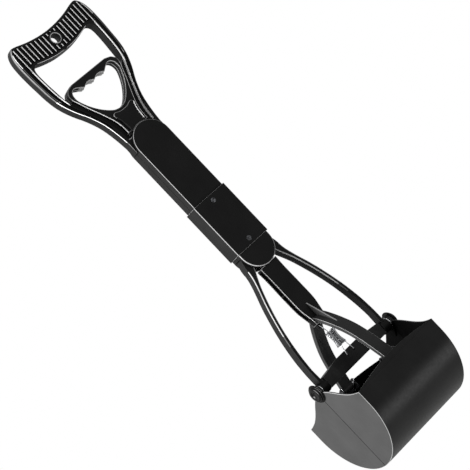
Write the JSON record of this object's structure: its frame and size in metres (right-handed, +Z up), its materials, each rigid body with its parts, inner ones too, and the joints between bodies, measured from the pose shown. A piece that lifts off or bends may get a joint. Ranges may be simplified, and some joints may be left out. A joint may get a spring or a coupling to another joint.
{
  "type": "pooper scooper",
  "caption": "Long-handled folding pooper scooper: a D-grip with a finger trigger, a stem with a sliding lock collar, and a spring-closed pair of scoop jaws on a forked frame.",
  "frame": {"origin": "on the shaft's centre line, level with the lowest line of the closed jaws", "axes": "+Z up the shaft to the grip, X along the jaws' pivot axis, -Y to the front, where the lower part folds to"},
  "size_m": [0.1632, 0.15, 0.7052],
  "materials": {
    "black_plastic": "satin moulded",
    "grey_plastic": "satin moulded",
    "bright_steel": "bright plated",
    "black_steel": "black coated"
  },
  "bodies": {
    "handle": {"handle_frame": "black_plastic", "hang_eyelet": "bright_steel", "neck_plate_front": "black_plastic", "neck_plate_rear": "black_plastic", "upper_cover_front": "black_plastic", "upper_cover_rear": "black_plastic", "upper_hinge_block": "black_plastic", "upper_screw_1": "bright_steel", "upper_screw_2": "bright_steel", "upper_screw_3": "bright_steel", "upper_screw_4": "bright_steel"},
    "trigger": {"trigger": "black_plastic", "upper_pull_bar": "black_steel", "trigger_rivet": "bright_steel", "pull_link_pin": "bright_steel"},
    "collar": {"lock_collar": "black_plastic", "collar_rivet_top": "black_steel", "collar_rivet_bottom": "black_steel"},
    "lower_frame": {"lower_hinge_block": "black_plastic", "lower_cover_front": "black_plastic", "lower_cover_rear": "black_plastic", "cross_bar": "black_plastic", "lower_screw_1": "bright_steel", "lower_screw_2": "bright_steel", "fold_pin_left": "bright_steel", "fold_pin_right": "bright_steel", "left_arm": "black_plastic", "right_arm": "black_plastic", "left_pivot_bolt": "black_steel", "right_pivot_bolt": "black_steel", "left_pivot_washer": "bright_steel", "right_pivot_washer": "bright_steel", "left_pivot_nut": "bright_steel", "right_pivot_nut": "bright_steel"},
    "fork": {"pull_fork": "black_plastic", "lower_pull_bar": "black_steel", "fork_rivet": "bright_steel", "front_fork_pin": "bright_steel", "rear_fork_pin": "bright_steel", "left_spring": "bright_steel", "right_spring": "bright_steel"},
    "front_jaw": {"front_jaw": "grey_plastic", "front_bracket": "black_steel", "front_rivet_left": "bright_steel", "front_rivet_right": "bright_steel"},
    "rear_jaw": {"rear_jaw": "grey_plastic", "rear_bracket": "black_steel", "rear_rivet_left": "bright_steel", "rear_rivet_right": "bright_steel"}
  },
  "joints": [
    {"name": "trigger_slide", "type": "slide", "parent": "handle", "child": "trigger", "axis": [0, 0, 1], "range_m": [0, 0.032], "stiffness_N_per_m": 400, "springref_m": -0.02},
    {"name": "fold", "type": "hinge", "parent": "handle", "child": "lower_frame", "pos_m": [0, -0.0076, 0.3265], "axis": [-1, 0, 0], "range_deg": [0, 140]},
    {"name": "collar_slide", "type": "slide", "parent": "handle", "child": "collar", "axis": [0, 0, 1], "range_m": [0, 0.056]},
    {"name": "fork_slide", "type": "slide", "parent": "lower_frame", "child": "fork", "axis": [0, 0, 1], "range_m": [0, 0.032], "deforming": ["left_spring", "right_spring"]},
    {"name": "front_jaw_hinge", "type": "hinge", "parent": "lower_frame", "child": "front_jaw", "pos_m": [0, 0, 0.1243], "axis": [-1, 0, 0], "range_deg": [0, 26.67]},
    {"name": "rear_jaw_hinge", "type": "hinge", "parent": "lower_frame", "child": "rear_jaw", "pos_m": [0, 0, 0.1243], "axis": [1, 0, 0], "range_deg": [0, 26.67]}
  ],
  "couplings": [
    {"joint": "collar_slide", "follows": "fold", "m_per_rad": 0.022918},
    {"joint": "fork_slide", "follows": "trigger_slide", "ratio": 1},
    {"joint": "front_jaw_hinge", "follows": "trigger_slide", "rad_per_m": 14.546},
    {"joint": "rear_jaw_hinge", "follows": "trigger_slide", "rad_per_m": 14.546}
  ]
}
